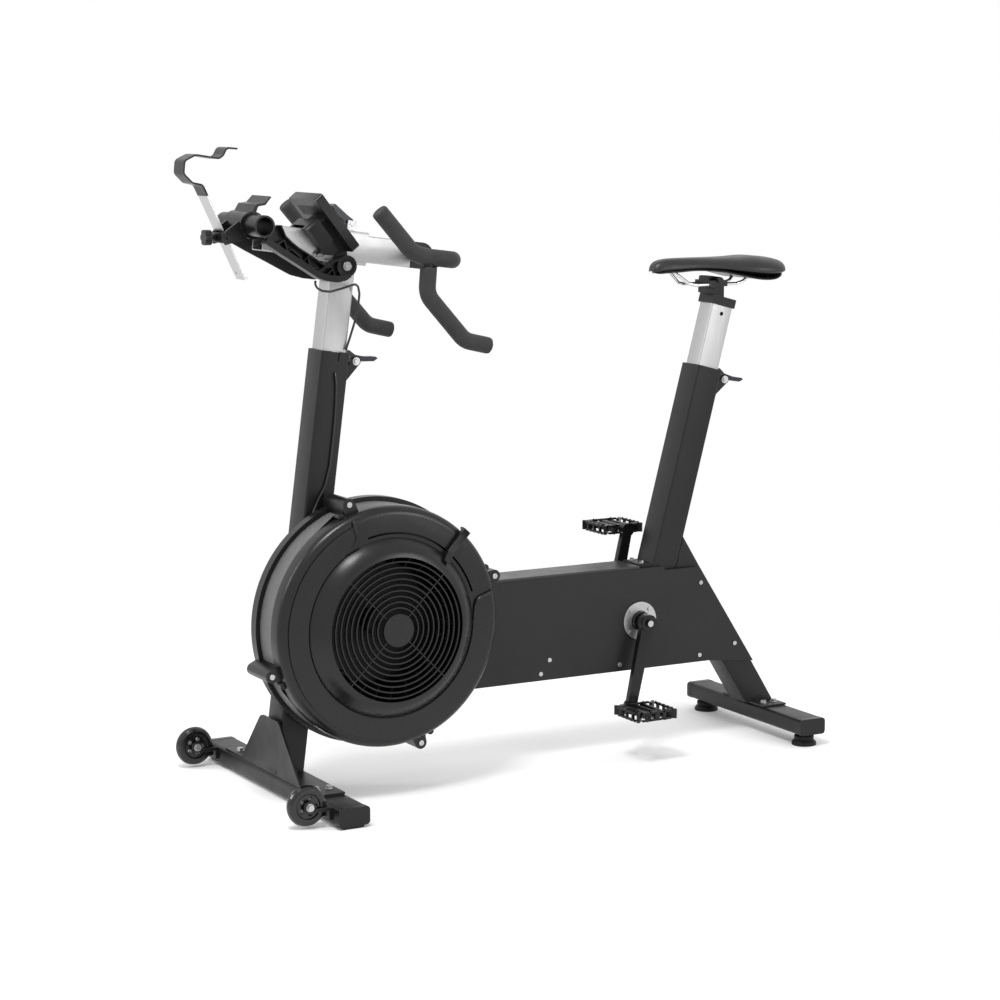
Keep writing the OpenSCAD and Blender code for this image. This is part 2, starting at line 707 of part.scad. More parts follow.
module clamp_solid() at_front_mast() {
    // Plug inside the stem's end
    translate([stem_to - 30, 0, stem_l]) rotate([90, 0, 90]) linear_extrude(30 + eps)
        polygon(round_rect(stem_w - 2 * tube_wall, stem_h - 2 * tube_wall, post_round - 2));
    difference() {
        translate([stem_to, 0, stem_l]) {
            block([0, -24, -25], [22, 24, 25]);
            translate([22, 0, 0]) y_rod(25, -24, 24);
        }
        block([stem_to - 10, -30, stem_l - 40], [stem_to, 30, stem_l + 40]);
    }
}

module handlebar_clamp() color("#18191a") difference() {
    clamp_solid();
    bar_space();
}

// Left half of the bar, from the cross tube round the bend to the end of the horn
horn_path = [[0, 0, 0], [0, -grip_y, 0], [-64, -grip_y, 8], [-94, -grip_y, 16],
    [-162, -grip_y, 93]];
// Left drop, from under the flat of the bar to its end
drop_path = [[-62, -grip_y, -4], [-66, -grip_y, -60], [12, -grip_y, -147], [64, -grip_y, -159]];

function far_side(path) = [for (p = path) [p[0], -p[1], p[2]]];
horn_line = rounded(horn_path, 32, 5);
drop_line = rounded(drop_path, 36, 5);
bar_bore_r = tube_r - 0.5;

// Steel tube: one piece through the clamp from horn to horn, and a drop under each side
module handlebar() color("#2a2b2d") translate([bar_x, 0, bar_z]) {
    side = [for (i = [len(horn_line) - 1:-1:1]) horn_line[i]];
    sweep(concat(side, far_side(reversed(side))), bar_bore_r, 16, [0.1, 0.01, 1]);
    for (line = [drop_line, far_side(drop_line)]) sweep(line, bar_bore_r - 1, 14, [0, 1, 0.01]);
}

// Foam sleeves over the tube, each side with its drop
module grips() color("#3a3b3d") translate([bar_x, 0, bar_z]) {
    horn = concat([[0, -46, 0]], [for (i = [1:len(horn_line) - 1]) horn_line[i]]);
    drop = concat([drop_line[0] - [0, 0, 6]], [for (i = [1:len(drop_line) - 1]) drop_line[i]]);
    for (line = [horn, far_side(horn)]) sleeve(line, foam_r, bar_bore_r, 20, [0.1, 0.01, 1]);
    for (line = [drop, far_side(drop)]) sleeve(line, foam_r, bar_bore_r, 18, [0, 1, 0.01]);
}

// ---- monitor and its arm ----

// Edges of an arm cheek, from the hollow tube to the pivot: [x, z] from the pivot
cheek_low = [[-200, 48], [-162, 26], [-125, 6], [-89, -14], [-78, -20], [-56, -26], [-33, -29],
    [-14, -26], [-2, -20]];
cheek_high = [[-164, 80], [-154, 60], [-141, 49], [-125, 38], [-101, 25], [-72, 8], [-60, 2]];
cheek_link = [[-84, -10], [-66, 0], [-47, 8], [-22, 16], [-8, 19]];
cheek_ribs = [[-176, 44], [-155, 53], [-148, 32], [-139, 36], [-122, 24], [-112, 12], [-101, 22],
    [-97, 0], [-78, 0], [-66, -20], [-43, -4], [-36, -26]];
rim_t = 12;
rib_t = 2.6;

// A band of even width along a path
module band(path, t) polygon(concat(strip_side(path, t / 2), reversed(strip_side(path, -t / 2))));

module cheek_part(depth) translate([0, -arm_y, 0]) rotate([90, 0, 0]) linear_extrude(depth) children();

// One cheek: web on its inner side, thick lower rim, thin upper rims and ribs, flaring forwards
module arm_cheek() difference() {
    rotate([0, 0, arm_flare]) {
        cheek_part(3) polygon(concat(cheek_low, reversed(cheek_link), reversed(cheek_high)));
        cheek_part(arm_t) polygon(concat(cheek_low, reversed(strip_side(cheek_low, rim_t))));
        cheek_part(arm_t) band(cheek_high, rib_t);
        cheek_part(arm_t) band(cheek_link, rib_t);
        cheek_part(arm_t - 3) band(cheek_ribs, rib_t);
    }
    block([-100, -arm_y, -60], [60, 20, 60]);
}

module monitor_arm() color("#19191a") difference() {
    union() {
        translate([pivot_x, 0, pivot_z]) for (k = [0, 1]) mirror([0, k, 0]) {
            arm_cheek();
            y_rod(20, -arm_y - arm_t, -arm_y);
        }
        translate([hollow_x, 0, hollow_z]) y_rod(hollow_r, -hollow_y, hollow_y, 64);
    }
    translate([hollow_x, 0, hollow_z]) y_rod(hollow_r - 3.5, -hollow_y - 9, hollow_y + 9, 64);
    pivot_hole();
    translate([pivot_x, 0, pivot_z]) {
        // Round recess that the bolt head stands in
        for (s = [-1, 1]) translate([0, s * (arm_y + arm_t + 2), 0]) y_turned([[10, -4], [15, -4],
            [15, 4], [10, 4]]);
    }
}

// The monitor's own frame: x out of the screen, z up the screen, from the case's top back edge
monitor_lean = 38.2;
module at_monitor()
    translate([pivot_x - 64, 0, pivot_z + 124]) rotate([0, -monitor_lean, 0]) children();

// Where the bolt that it turns on lies in the monitor's frame
monitor_pivot = [64 * cos(monitor_lean) - 124 * sin(monitor_lean),
    -64 * sin(monitor_lean) - 124 * cos(monitor_lean)];
// Case and housing, lowest and highest corners without Y, and their half widths
case_low = [-3.4, -121.5];
case_high = [14.4, 2.5];
case_half = 59;
neck_low = [-18, -113];
neck_high = [case_low[0], -46];
housing_low = [-45, -110];
housing_high = [neck_low[0], -33];
housing_half = 33.5;
screen_y = [-51, 31];
screen_z = [-78, -12];
key_y = 43;
key_step = 14;

// Space that the stem and its sleeve take from the monitor, over its whole tilt
tilt_back = 3;
tilt_on = 9;
module tilt_space(top, half, front) let (
        middle = 90 + (tilt_on - tilt_back) / 2,
        apex = top / cos((tilt_on + tilt_back) / 2) * [cos(middle), sin(middle)])
    translate([pivot_x, half, pivot_z]) rotate([0, front_lean, 0]) rotate([90, 0, 0])
        linear_extrude(2 * half) polygon([apex, apex + 160 * [cos(tilt_on), sin(tilt_on)],
            [170, -90], [front, -90],
            apex + (apex[0] - front) / cos(tilt_back) * [-cos(tilt_back), sin(tilt_back)]]);
module stem_space() {
    tilt_space(61.3, stem_w / 2 + 1, -170);
    tilt_space(67.8, stem_w / 2 + 5.3, -52);
}

module monitor_case() color("#1b1c1e") difference() {
    at_monitor() difference() {
        union() {
            translate([case_low[0], 0, (case_low[1] + case_high[1]) / 2]) rotate([90, 0, 90])
                linear_extrude(case_high[0] - case_low[0])
                    polygon(round_rect(2 * case_half, case_high[1] - case_low[1], 5));
            // Neck between the case and the battery housing
            block([neck_low[0], -housing_half, neck_low[1]],
                [neck_high[0] + eps, housing_half, neck_high[1]]);
            // Lugs that turn on the arm's bolt
            for (s = [-1, 1]) translate([monitor_pivot[0], s * 31, monitor_pivot[1]]) {
                y_rod(12, -2.5, 2.5);
                translate([0, 2.5, 0]) rotate([90, 0, 0]) linear_extrude(5)
                    polygon([[-12, 0], [12, 0], [22, 15], [22, 40], [9, 40], [9, 26], [-12, 24]]);
            }
        }
        block([case_high[0] - 2.1, screen_y[0], screen_z[0]],
            [case_high[0] + 1, screen_y[1], screen_z[1]]);
        for (k = [0:4]) translate([case_high[0] - 4, key_y, screen_z[1] - 5 - key_step * k])
            rotate([0, 90, 0]) cylinder(r = 4.5, h = 5, $fn = 24);
        // Vents in the back
        for (k = [-6:6]) block([case_low[0] - 1, 6.5 * k - 1.4, -36],
            [case_low[0] + 2, 6.5 * k + 1.4, -14]);
    }
    pivot_hole();
    stem_space();
}

module monitor_screen() color("#8c958c") at_monitor()
    block([case_high[0] - 2, screen_y[0] + gap, screen_z[0] + gap],
        [case_high[0] - 0.8, screen_y[1] - gap, screen_z[1] - gap]);

module monitor_keys() color("#3b3d40") at_monitor()
    for (k = [0:4]) translate([case_high[0] - 3.1, key_y, screen_z[1] - 5 - key_step * k])
        rotate([0, 90, 0]) cylinder(r = 4.2, h = 4.2, $fn = 24);

module battery_box() color("#1b1c1e") difference() {
    at_monitor() {
        difference() {
            block([housing_low[0], -housing_half, housing_low[1]],
                [housing_high[0], housing_half, housing_high[1]]);
            // Slanted foot, clear of the lugs
            translate([0, 60, 0]) rotate([90, 0, 0]) linear_extrude(120)
                polygon([[housing_low[0] - 1, -94], [-30, -109], [-17, -111.5], [-17, -140],
                    [-60, -140], [-60, -94]]);
        }
        block([housing_low[0] - 1, -50, -80], [housing_high[0], -housing_half + 2, -34]);
        // Plug of the cable on the near wall
        translate([housing_low[0] + 2, -29.5 - 1, -86]) rotate([0, -90, 0])
            cylinder(r = 2.5, h = 12, $fn = 24);
    }
    stem_space();
}

// ---- device holder ----

module holder_clamp() color("#18181a") {
    difference() {
        union() {
            translate([hollow_x, 0, hollow_z]) y_rod(hollow_r + 5, -37, 44, 64);
            for (s = [-1, 1]) translate([0, s * 27, 0]) translate([0, 3, 0]) rotate([90, 0, 0])
                linear_extrude(6) polygon([[hollow_x, hollow_z + 24], [holder_x - 4, holder_z + 13],
                    [holder_x - 14, holder_z], [holder_x - 6, holder_z - 13],
                    [hollow_x - 6, hollow_z - 24]]);
            block([holder_x - 14, -30, holder_z - 9], [holder_x - 8, 30, holder_z + 9]);
            // Ledge that a device stands on
            translate([0, 41, 0]) rotate([90, 0, 0]) linear_extrude(81)
                polygon([[hollow_x - 4, hollow_z + 22], [hollow_x + 6, hollow_z + 38],
                    [hollow_x + 22, hollow_z + 40], [hollow_x + 34, hollow_z + 52],
                    [hollow_x + 36, hollow_z + 50], [hollow_x + 24, hollow_z + 36],
                    [hollow_x + 10, hollow_z + 34], [hollow_x + 4, hollow_z + 20]]);
        }
        translate([hollow_x, 0, hollow_z]) y_rod(hollow_r + fit, -60, 60, 64);
        // Slot for the bar, through the clamp
        at_holder() block([-5.3, -bar_w / 2 - gap, -60], [4.7, bar_w / 2 + gap, 60]);
        translate([holder_x, 0, holder_z]) rotate([0, -90, 0]) cylinder(r = 3 + fit, h = 40);
    }
    translate([holder_x, 0, holder_z]) for (s = [-1, 1]) y_rod(4, s > 0 ? 30 : -33, s > 0 ? 33 : -30);
}

// Hooked strip at the top of the holder bar: middle line in the bar's own frame
hook_path = [[0, 84], [0, 106], [-16, 118], [-24, 140], [-12, 160], [12, 160], [50, 134],
    [60, 136], [72, 145], [90, 134]];

module holder_bar() at_holder() {
    color("#b9bcbe") difference() {
        block([-1.5, -bar_w / 2, bar_low], [1.5, bar_w / 2, bar_high]);
        translate([-5, 6, bar_low + 12]) rotate([0, 90, 0]) cylinder(r = 3, h = 10, $fn = 24);
    }
    color("#b9bcbe") block([-1.5, -bar_w / 2, bar_low - 2], [5, bar_w / 2, bar_low + eps]);
    color("#1a1a1b") translate([0, bar_w / 2 + 2, 0]) rotate([90, 0, 0])
        linear_extrude(bar_w + 4) difference() {
            band(rounded(hook_path, 9, 4), 3.2);
            translate([-1.5, 60]) square([3, bar_high - 60]);
        }
}

module holder_knob() color("#17171a") translate([holder_x - 15, 0, holder_z])
    rotate([0, -90, 0]) {
        cylinder(r = 7, h = 10);
        translate([0, 0, 9]) difference() {
            cylinder(r = 14.5, h = 13);
            for (k = [0:5]) rotate([0, 0, 60 * k]) translate([17, 0, -1])
                cylinder(r = 5, h = 16, $fn = 24);
        }
        translate([0, 0, -11]) cylinder(r = 3, h = 12, $fn = 24);
    }

// ---- cable from the monitor to the fan's sensor ----

// Upper lead, from the front foot: out of the arm, one loop, and down the post into the mast
upper_route = [[50, -58, 969], [49, -59, 962], [53, -60, 955], [63, -60, 950], [79, -60, 948],
    [103, -59, 953], [125, -55, 958], [137, -46, 959], [147, -38, 954], [152, -33, 940],
    [151, -30, 920], [145, -28, 890], [135, -27, 860], [126, -26.8, 836]];

// Lower lead, from the front foot: down the mast's near side to the back of the fan cage
lower_route = [[100, -36, 795], [102, -34.5, 770], [101, -34.5, 745], [99, -34.5, 715],
    [94, -34.5, 670], [87, -34.5, 620], [77, -35, 585], [59, -37, 555], [47, -41, 533],
    [43, -43, 520]];

module cable(route) translate([front_foot_x, 0, 0])
    sweep(rounded(route, 5, 1), cable_r, 8, [0, 1, 0.01]);

module upper_cable() color("#151516") cable(upper_route);
module lower_cable() color("#151516") cable(lower_route);

// ---- fan cage ----

module ear_lugs(y0, y1) at_fan() for (k = [0:3]) rotate([0, -(ear_turn + 90 * k), 0])
    hull() {
        translate([ear_r, 0, 0]) y_rod(12, y0, y1, 32);
        translate([cage_r - 12, 0, 0]) y_rod(16, y0, y1, 32);
    }

// Second, smaller boss on the near side of each ear
module ear_bosses() at_fan() for (k = [0:3]) rotate([0, -(ear_turn + 90 * k + 6), 0])
    translate([cage_r + 2, 0, 0]) y_rod(7, -136, -118, 32);

// Outer face of the near cover: rim, rounded shoulder, flat ring and raised centre
shoulder_r = 16;
function cover_face(t) = concat([[cage_r - t, cage_flange_y + 22]],
    [for (i = [0:5]) [cage_r - shoulder_r + (shoulder_r - t) * cos(18 * i),
        cage_flange_y - 1 - (shoulder_r - t) * sin(18 * i)]],
    [[bezel_r + 2, face_y + 2.5 + t], [bezel_r, face_y - 1 + t * 0.8], [161, -169 + t * 0.9],
        [151, -177.5 + t * 0.9], [144, -181.5 + t], [grille_r, -183 + t]]);

// Thicker layer on the flat ring, outside the sector that the damper lever sweeps
function polar(list) = [for (p = list) p[1] * [cos(p[0]), sin(p[0])]];
raised_end = [[0, 190], [2, 181], [6, 175], [12, 171.5]];
function raised_outline() = let (a = damper_to, b = damper_from + 360, r = cage_r - shoulder_r - 1)
    polar(concat([for (i = [0:44]) [a + (b - a) * i / 44, r]],
        [for (p = raised_end) [b - p[0], p[1]]],
        [for (i = [1:39]) [b - 12 - (b - a - 24) * i / 40, 171.5]],
        [for (p = reversed(raised_end)) [a + p[0], p[1]]]));

module fan_cover_left() color("#202123") difference() {
    union() {
        at_fan() y_turned(concat(cover_face(0), reversed(cover_face(cover_wall))));
        at_fan() translate([0, -156.2, 0]) rotate([90, 0, 0])
            linear_extrude(4) polygon(raised_outline());
        ear_lugs(-132, -110);
        ear_bosses();
    }
    at_fan() {
        y_rod(cage_r - cover_wall - 0.2, -136, -117.5, 128);
        y_rod(cage_r - 1.5, -117.7, -100, 128);
        for (k = [0:3]) rotate([0, -(ear_turn + 90 * k), 0])
            translate([ear_r, 0, 0]) y_rod(3 + fit, -160, -90, 24);
        // Slot that the damper lever slides in, at the foot of the raised centre
        difference() {
            y_turned([[slot_r - 2, -175], [slot_r + 2, -175], [slot_r + 2, -130],
                [slot_r - 2, -130]]);
            for (t = [0:3]) rotate([0, -(slot_to + (270 - slot_to + slot_from) * t / 3), 0])
                translate([0, -180, 0]) cube([260, 60, 260]);
        }
    }
}

module fan_grille() color("#2a2b2d") at_fan() {
    for (i = [0:grille_rings - 1]) let (r = 42 + i * (grille_r - 8 - 42) / (grille_rings - 1))
        y_turned([[r - 1.3, grille_y + 1], [r + 1.3, grille_y + 1], [r + 1, grille_y + 7],
            [r - 1, grille_y + 7]]);
    for (k = [0:3]) rotate([0, -(45 + 90 * k), 0])
        block([hub_disc_r - 2, grille_y + 3, -1], [grille_r, grille_y + 6, 1]);
    y_rod(hub_disc_r, grille_y - 2, grille_y + 3, 96);
}

module fan_cover_right() color("#202123") difference() {
    union() {
        at_fan() y_turned([[30, cage_back_y], [cage_r + 7, cage_back_y],
            [cage_r + 7, cage_back_y - 21], [cage_r - 1, cage_back_y - 21],
            [cage_r - 1, cage_back_y - 3], [30, cage_back_y - 3]]);
        ear_lugs(-109.5, cage_back_y);
    }
    at_fan() {
        y_rod(cage_r - 1.5, -130, cage_back_y - 3, 128);
        for (k = [0:3]) rotate([0, -(ear_turn + 90 * k), 0])
            translate([ear_r, 0, 0]) y_rod(3 + fit, -160, -30, 24);
    }
}

module mesh_band() color("#6b6d70") at_fan()
    y_turned([[cage_r - 4, cage_back_y - 4], [cage_r - 2, cage_back_y - 4],
        [cage_r - 2, cage_flange_y + 22.3], [cage_r - 4, cage_flange_y + 22.3]]);

// Damper: lever outside the cover, pin through its slot and a shutter ring inside
module damper_lever() color("#1d1e20") at_fan() {
    rotate([0, -damper_turn, 0]) {
        translate([0, 0, -7]) linear_extrude(14)
            polygon([[158, -179], [158, -176], [161, -174], [168, -166], [171, -158.5],
                [223, -158.5], [227, -156], [230, -150], [233, -150], [233, -161],
                [218, -167], [183, -166], [171, -172]]);
        // Finger grip at its outer end
        for (k = [-2:2]) block([218, -168.5, 3.4 * k - 1], [232, -160, 3.4 * k + 1]);
        block([slot_r - 1.5, -159, -1.5], [slot_r + 1.5, -144, 1.5]);
    }
    y_turned([[150, -146], [200, -146], [200, -144], [150, -144]]);
}

module fan_wheel() color("#3a3c3f") at_fan() {
    difference() {
        union() {
            y_rod(205, -66, -62, 128);
            y_rod(24, -110, -56);
        }
        y_rod(fan_shaft_r, -200, 0);
    }
    for (k = [0:fan_blades - 1]) rotate([0, -360 * k / fan_blades, 0]) translate([118, 0, 0])
        rotate([0, 20, 0]) block([-2, -132, -1], [82, -66 + eps, 1]);
    // Fan axle and its pulley
    y_rod(fan_shaft_r, -112, 36);
    difference() {
        y_rod(fan_pulley_r, second_belt_y - belt_w / 2 - 2, second_belt_y + belt_w / 2 + 2, 96);
        y_turned([[fan_pulley_r - 1, second_belt_y - belt_w / 2],
            [fan_pulley_r + 2, second_belt_y - belt_w / 2],
            [fan_pulley_r + 2, second_belt_y + belt_w / 2],
            [fan_pulley_r - 1, second_belt_y + belt_w / 2]]);
    }
}

// ---- drive ----

// Open belt round two pulleys, from [x, z, radius] to [x, z, radius]
function belt_outline(a, b, grow) =
    let (line = atan2(b[1] - a[1], b[0] - a[0]),
        lean = acos((a[2] - b[2]) / norm([b[0] - a[0], b[1] - a[1]])))
    [for (i = [0:belt_steps]) let (t = line + lean + (360 - 2 * lean) * i / belt_steps)
        [a[0], a[1]] + (a[2] + grow) * [cos(t), sin(t)],
     for (i = [0:belt_steps]) let (t = line - lean + 2 * lean * i / belt_steps)
        [b[0], b[1]] + (b[2] + grow) * [cos(t), sin(t)]];

module belt(a, b, y) translate([0, y + belt_w / 2 - 0.5, 0]) rotate([90, 0, 0])
    linear_extrude(belt_w - 1) difference() {
        polygon(belt_outline(a, b, belt_gap + belt_t));
        polygon(belt_outline(a, b, belt_gap));
    }

module drive_belts() color("#141414") {
    belt([crank_x, crank_z, crank_pulley_r], [idler_x, idler_z, idler_small_r], first_belt_y);
    belt([idler_x, idler_z, idler_large_r], [fan_x, fan_z, fan_pulley_r], second_belt_y);
}

module pulley(r, y, hub, cut) difference() {
    union() {
        y_rod(r, y - belt_w / 2, y + belt_w / 2, 96);
        for (s = [-1, 1]) y_rod(hub, s > 0 ? y + belt_w / 2 - eps : y - belt_w / 2 - 3,
            s > 0 ? y + belt_w / 2 + 3 : y - belt_w / 2 + eps);
    }
    for (k = [0:cut - 1]) rotate([0, 360 * k / cut, 0]) translate([(r + hub) / 2, 0, 0])
        y_rod((r - hub) / 2 - 6, y - 20, y + 20, 32);
}

module idler() color("#4a4c4f") at_idler() {
    pulley(idler_large_r, second_belt_y, 20, 5);
    y_rod(idler_small_r, 1, first_belt_y + belt_w / 2 + 1, 96);
    y_rod(idler_shaft_r, -web_y - 7, web_y + 7);
}

module crank_arm(s) {
    turn = s < 0 ? crank_turn : 180 + crank_turn;
    rotate([0, turn, 0]) {
        translate([0, s * 70, 0]) {
            y_rod(17, -9, 9);
            translate([0, 0, -crank_l]) y_rod(14, s > 0 ? -1 : -13, s > 0 ? 13 : 1);
            hull() {
                translate([0, 0, -4]) y_rod(13, s > 0 ? -9 : -5, s > 0 ? 5 : 9, 32);
                translate([0, 0, -crank_l]) y_rod(11, s > 0 ? 1 : -11, s > 0 ? 11 : -1, 32);
            }
        }
        // Pedal spindle
        translate([0, 0, -crank_l]) {
            y_rod(6, s > 0 ? 78 : -176, s > 0 ? 176 : -78);
            y_rod(8, s > 0 ? 80 : -86, s > 0 ? 86 : -80, 6);
        }
    }
    // Spindle bolt
    y_rod(8, s > 0 ? 79 - eps : -84, s > 0 ? 84 : -79 + eps);
}

module crank_set() color("#1a1b1d") at_crank() {
    y_rod(spindle_r, -79, 79);
    pulley(crank_pulley_r, first_belt_y, 24, 5);
    for (s = [-1, 1]) crank_arm(s);
}

module bearing_flanges() color("#9b9ea1") at_crank() for (s = [-1, 1]) {
    difference() {
        union() {
            y_rod(38, s > 0 ? box_half : -box_half - 4, s > 0 ? box_half + 4 : -box_half, 96);
            y_rod(19, s > 0 ? box_half : -box_half - 12, s > 0 ? box_half + 12 : -box_half);
        }
        y_rod(spindle_r + fit, -80, 80);
    }
    for (k = [0:3]) rotate([0, 45 + 90 * k, 0]) translate([31, s * (box_half + 4), 0])
        rotate([s * -90, 0, 0]) round_screw(2.5, 3);
}

module pedal(s) color("#151516") at_crank()
    rotate([0, s < 0 ? crank_turn : 180 + crank_turn, 0]) translate([0, 0, -crank_l])
        rotate([0, s < 0 ? -crank_turn : 180 - crank_turn, 0]) translate([0, s * 131, 0])
            difference() {
                union() {
                    y_rod(11, -44, 44);
                    difference() {
                        translate([0, 0, -10]) linear_extrude(20)
                            polygon([[-46, -26], [-38, -44], [38, -44], [46, -26], [46, 26],
                                [38, 44], [-38, 44], [-46, 26]]);
                        for (k = [-1, 1]) translate([k * 25, 0, -20]) {
                            for (m = [-1, 1]) translate([-10 * k - 4, m * 20, 0])
                                linear_extrude(40)
                                    polygon([[-6, -15], [9, -15], [15, -4], [15, 4],
                                        [9, 15], [-6, 15]]);
                        }
                    }
                }
                y_rod(6 + gap, -60, 60);
            }

module pedal_left() pedal(-1);
module pedal_right() pedal(1);

front_foot_beam();
front_end_caps();
front_mast();
frame_bolts();
wheel_brackets();
wheel_left();
wheel_right();
top_rail();
bottom_rail();
bearing_plates();
side_cover_left();
side_cover_right();
top_cover();
cover_screws();
rear_leg();
rear_foot_beam();
rear_end_caps();
levelling_foot_left();
levelling_foot_right();
seat_mast();
mast_bushings();
lever_brackets();
seat_lever();
seat_post();
seat_post_cap();
saddle_clamp();
saddle_rails();
saddle_shell();
saddle_pad();
handlebar_post();
post_lever();
stem_sleeve();
stem_tube();
stem_lever();
handlebar_clamp();
handlebar();
grips();
monitor_arm();
stem_pins();
monitor_case();
monitor_screen();
monitor_keys();
battery_box();
holder_clamp();
holder_bar();
holder_knob();
upper_cable();
lower_cable();
fan_cover_left();
fan_grille();
fan_cover_right();
mesh_band();
damper_lever();
fan_wheel();
drive_belts();
idler();
crank_set();
bearing_flanges();
pedal_left();
pedal_right();
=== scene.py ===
import json
import math

import bmesh
import bpy
from mathutils import Matrix, Vector


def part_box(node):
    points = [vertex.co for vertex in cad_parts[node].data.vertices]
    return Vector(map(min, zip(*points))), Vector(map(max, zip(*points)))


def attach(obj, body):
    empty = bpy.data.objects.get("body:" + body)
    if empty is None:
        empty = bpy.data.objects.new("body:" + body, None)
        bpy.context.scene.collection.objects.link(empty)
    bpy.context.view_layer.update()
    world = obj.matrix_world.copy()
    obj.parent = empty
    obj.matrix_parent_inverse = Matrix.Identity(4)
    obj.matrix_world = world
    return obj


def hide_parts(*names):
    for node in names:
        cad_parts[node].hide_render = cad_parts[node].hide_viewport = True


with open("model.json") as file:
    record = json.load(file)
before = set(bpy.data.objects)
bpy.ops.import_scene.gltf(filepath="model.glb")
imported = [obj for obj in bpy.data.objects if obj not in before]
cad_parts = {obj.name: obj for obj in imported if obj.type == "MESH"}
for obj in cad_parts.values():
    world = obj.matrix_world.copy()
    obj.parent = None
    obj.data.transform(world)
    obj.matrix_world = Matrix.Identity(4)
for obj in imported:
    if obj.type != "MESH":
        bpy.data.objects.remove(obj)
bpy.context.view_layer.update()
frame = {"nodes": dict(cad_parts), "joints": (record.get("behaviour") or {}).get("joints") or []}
NODES = frame["nodes"]
MM = 0.001

# The photograph's camera: place in metres, and where it stands seen from the bike, in degrees
CAMERA_PLACE = (-2.5043, -4.4727, 1.2951)
CAMERA_AZIMUTH, CAMERA_ELEVATION = -29.31, 8.55
LENS_MM, SENSOR_MM = 95.56, 36


def joint_place(name):
    return tuple(next(j for j in frame["joints"] if j["name"] == name)["pos_m"])


# Places on the bike in metres, and the lean of its two posts in degrees
CRANK_AXIS = joint_place("crank_spin")
FAN_AXIS = joint_place("fan_spin")
SADDLE_AXIS = joint_place("saddle_tilt")
KNOB = joint_place("holder_knob_turn")
FAN_R = 0.226
# Face of the flat ring round the near cover's stepped centre
COVER_FACE_Y = -0.1595
# Where the holder's bar passes into its black hook, and the bar's direction
HOOK_FROM = (KNOB[0] - 0.0161, 0, KNOB[2] + 0.0758)
HOOK_ALONG = (-0.4305, 0, 0.9026)
SEAT_LEAN, BAR_LEAN = 14.9, 7.5


# ---- camera, light and floor ----

def aim(azimuth, elevation):
    a, e = math.radians(azimuth), math.radians(elevation)
    return Vector((math.sin(a) * math.cos(e), -math.cos(a) * math.cos(e), math.sin(e)))


def add_object(name, data):
    made = bpy.data.objects.new(name, data)
    bpy.context.scene.collection.objects.link(made)
    return made


def make_camera():
    data = bpy.data.cameras.new("camera")
    cam = add_object("camera", data)
    cam.location = CAMERA_PLACE
    cam.rotation_mode = "QUATERNION"
    toward = -aim(CAMERA_AZIMUTH, CAMERA_ELEVATION)
    cam.rotation_quaternion = toward.to_track_quat("-Z", "Y")
    data.sensor_width = SENSOR_MM
    data.lens = LENS_MM
    data.clip_start, data.clip_end = 0.05, 100
    bpy.context.scene.camera = cam


def area_light(name, place, target, size, power):
    data = bpy.data.lights.new(name, "AREA")
    data.shape = "RECTANGLE"
    data.size, data.size_y = size
    data.energy = power
    lamp = add_object(name, data)
    lamp.location = place
    lamp.rotation_euler = (Vector(target) - Vector(place)).to_track_quat("-Z", "Y").to_euler()


def make_world():
    world = bpy.data.worlds.new("studio")
    bpy.context.scene.world = world
    world.use_nodes = True
    sky = world.node_tree.nodes["Background"]
    sky.inputs["Color"].default_value = (1, 1, 1, 1)
    sky.inputs["Strength"].default_value = 1.0


def make_floor():
    """White paper that glows to the backdrop's white from fade_from to fade_to metres away."""
    size, fade_from, fade_to = 30, 0.75, 1.9
    mesh = bpy.data.meshes.new("floor")
    mesh.from_pydata([(-size, -size, 0), (size, -size, 0), (size, size, 0), (-size, size, 0)],
                     [], [(0, 1, 2, 3)])
    floor = add_object("floor", mesh)
    n = Nodes("paper")
    n.out(Base_Color=grey(0.95), Roughness=0.9, Specular_IOR_Level=0.1)
    reach = n.vector_math("LENGTH", n.place).outputs["Value"]
    fade = n.add("MapRange", {"From Min": fade_from, "From Max": fade_to}, {"Value": reach},
                 interpolation_type="SMOOTHSTEP")
    glow = n.add("Emission", {"Strength": 1.0})
    n.blend_shaders(fade.outputs["Result"], n.shader.outputs["BSDF"], glow.outputs["Emission"])
    floor.data.materials.append(n.material)


def make_studio():
    bpy.context.scene.view_settings.view_transform = "Standard"
    make_world()
    area_light("key", (-1.3, -1.2, 3.4), (-0.1, 0, 0.4), (0.9, 0.9), 60)
    area_light("side", (-3.0, 1.4, 2.2), (0, 0, 0.6), (0.4, 1.6), 22)
    area_light("front", (2.4, -4.2, 1.6), (0, 0, 0.6), (1.3, 1.6), 38)
    make_floor()


# ---- materials ----

